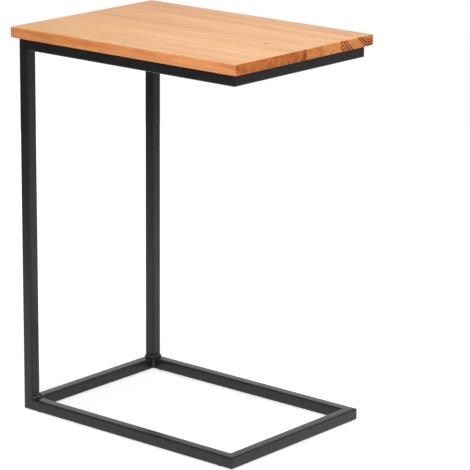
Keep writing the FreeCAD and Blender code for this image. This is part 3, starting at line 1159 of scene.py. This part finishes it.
class SIDE_TABLE_OT_glides(bpy.types.Operator):
    """Press the plastic glides into the base"""
    bl_idname = "side_table.glides"
    bl_label = "Glides"

    def execute(self, context):
        settings = context.scene.side_table_fixings
        plastic = once(plastic_finish, settings)
        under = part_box("base_left_rail")[0].z
        wall = under + context.scene.side_table_frame.wall + settings.fit
        barb = settings.barb
        ease = settings.glide_ease
        dish = ease / 2
        for corner in CORNERS:
            name = f"glide_{corner}"
            low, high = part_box(name)
            foot = (high.x - low.x) / 2
            stem = foot / 2
            profile = [(0, dish), (foot * 0.45, dish), (foot * 0.52, 0)]
            profile += [tuple(place) for place in arc(Vector((foot - ease, ease)), ease, -90, 0, 6)]
            profile += [(foot, under - dish / 3), (foot - dish / 3, under), (stem, under), (stem, wall),
                        (stem + barb, wall), (stem + barb * 0.8, wall + barb), (stem - barb, high.z),
                        (0, high.z)]
            mesh = skinned_mesh(name, turned(profile, (low + high) / 2, 48))
            add_piece(f"foot_{corner}", mesh, plastic, "glides", name)
        return {"FINISHED"}


def floor_finish(settings):
    """A pale floor that looks white, fades out of mirrors and keeps the table's shadow."""
    material, floor = new_material("studio_floor")
    along, across, _ = floor.place()
    middle_x, middle_y, _ = (part / MM for part in settings.floor_middle)
    far = floor.distance(along - middle_x, across - middle_y)
    radius = settings.floor_radius / MM
    bright = radius * 0.23
    near = floor.step(far, radius, bright)
    camera, mirrored = floor.rays()

    # The floor on the near side of the table isn't lit in the coat's reflections.
    near_side = (0.64, -0.77)
    flag = floor.step(floor.towards(along, across, near_side), 350, 300)
    mirrored_white = near * flag * settings.mirrored_glow
    white = camera * (1 - near * (1 - settings.seen_glow)) + mirrored * mirrored_white
    matt = floor.node("ShaderNodeBsdfDiffuse", {"Color": rgba(settings.floor)})
    glow = floor.node("ShaderNodeEmission", {"Color": rgba(WHITE), "Strength": white})
    both = floor.node("ShaderNodeAddShader", {0: matt, 1: glow})
    floor.node("ShaderNodeOutputMaterial", {"Surface": both})
    return material


def light_world(scene, settings):
    """White where it is seen, dim elsewhere, and two screens for what is mirrored.

    One screen stands low behind the table, and the other hangs high in front of it.
    """
    world = bpy.data.worlds.new("studio")
    world.use_nodes = True
    scene.world = world
    sky = Nodes(world.node_tree)
    x, y, z = sky.parts(sky.node("ShaderNodeTexCoord", output="Generated"))
    rear_way = (-0.20, 0.98)
    front_way = (0.55, -0.83)
    floor_glow = 0.25
    room_glow = 0.09
    behind = sky.step(sky.towards(x, y, rear_way), 0.1, 0.6)
    screen = behind * (sky.step(z, -0.05, 0.02) * settings.rear_screen + floor_glow) + room_glow
    screen = screen * sky.step(z, 0.6, 0.4)
    before = sky.step(sky.towards(x, y, front_way), 0.05, 0.45) * sky.step(z, 0.35, 0.55)
    camera, mirrored = sky.rays()
    screens = screen + before * settings.front_screen
    strength = camera + mirrored * screens + (1 - camera - mirrored) * settings.dim
    glow = sky.node("ShaderNodeBackground", {"Color": rgba(WHITE), "Strength": strength})
    sky.node("ShaderNodeOutputWorld", {"Surface": glow})


def add_lamp(name, place, aim, size, watts, mirrored):
    """A large soft square lamp that looks at a point, and is seen in mirrors at most."""
    data = bpy.data.lights.new(name, "AREA")
    data.size = size
    data.energy = watts
    lamp = add_object(name, data)
    lamp.location = place
    lamp.rotation_euler = (aim - place).to_track_quat("-Z", "Y").to_euler()
    lamp.visible_camera = False
    lamp.visible_glossy = mirrored


def add_camera(settings):
    """The camera, turned about its line of sight by the roll."""
    turn = settings.azimuth
    lift = settings.elevation
    roll = settings.roll
    level = Vector((math.cos(turn), math.sin(turn), 0))
    back = Z * math.sin(lift) + Vector((math.sin(turn), -math.cos(turn), 0)) * math.cos(lift)
    upright = back.cross(level)
    right = level * math.cos(roll) + upright * math.sin(roll)
    up = upright * math.cos(roll) - level * math.sin(roll)
    data = bpy.data.cameras.new("camera")
    data.sensor_width = 36
    data.lens = settings.lens
    camera = add_object("camera", data)
    place = Matrix((right, up, back)).transposed().to_4x4()
    place.translation = Vector(settings.aim) + back * settings.distance
    camera.matrix_world = place
    bpy.context.scene.camera = camera


class SIDE_TABLE_OT_stage(bpy.types.Operator):
    """Set up the floor, the studio light and the camera"""
    bl_idname = "side_table.stage"
    bl_label = "Stage"

    def execute(self, context):
        settings = context.scene.side_table_stage
        shape = bmesh.new()
        bmesh.ops.create_circle(
            shape, cap_ends=True, segments=96, radius=settings.floor_radius,
            matrix=Matrix.Translation(settings.floor_middle))
        mesh = finished_mesh("floor", shape)
        mesh.materials.append(floor_finish(settings))
        floor = add_object("floor", mesh)
        light_world(context.scene, settings)
        key_place = Vector(settings.key_place)
        add_lamp("key", key_place, key_place - Z, settings.key_size, settings.key_power, True)
        add_lamp("fill", Vector(settings.fill_place), Vector(settings.fill_aim),
                 settings.fill_size, settings.fill_power, False)
        add_camera(settings)
        context.scene.view_settings.view_transform = "Standard"
        return {"FINISHED"}


OPERATORS = (
    SIDE_TABLE_OT_boards,
    SIDE_TABLE_OT_tubes,
    SIDE_TABLE_OT_welds,
    SIDE_TABLE_OT_tabs,
    SIDE_TABLE_OT_fixings,
    SIDE_TABLE_OT_glides,
    SIDE_TABLE_OT_stage,
)
GROUPS = {
    "side_table_wood": WoodSettings,
    "side_table_frame": FrameSettings,
    "side_table_fixings": FixingSettings,
    "side_table_stage": StageSettings,
}


class VIEW3D_PT_side_table(bpy.types.Panel):
    """Buttons and settings of the side table"""
    bl_label = "Side table"
    bl_space_type = "VIEW_3D"
    bl_region_type = "UI"
    bl_category = "Side table"

    def draw(self, context):
        for operator in OPERATORS:
            self.layout.operator(operator.bl_idname)
        for name, group in GROUPS.items():
            box = self.layout.box()
            for key in group.__annotations__:
                box.prop(getattr(context.scene, name), key)


CLASSES = (*GROUPS.values(), *OPERATORS, VIEW3D_PT_side_table)


def register():
    for item in CLASSES:
        bpy.utils.register_class(item)
    for name, group in GROUPS.items():
        setattr(bpy.types.Scene, name, PointerProperty(type=group))


def unregister():
    for name in GROUPS:
        delattr(bpy.types.Scene, name)
    for item in reversed(CLASSES):
        bpy.utils.unregister_class(item)


def main():
    register()
    bpy.ops.side_table.boards()
    bpy.ops.side_table.tubes()
    bpy.ops.side_table.welds()
    bpy.ops.side_table.tabs()
    bpy.ops.side_table.fixings()
    bpy.ops.side_table.glides()
    bpy.ops.side_table.stage()


if __name__ == "__main__":
    main()
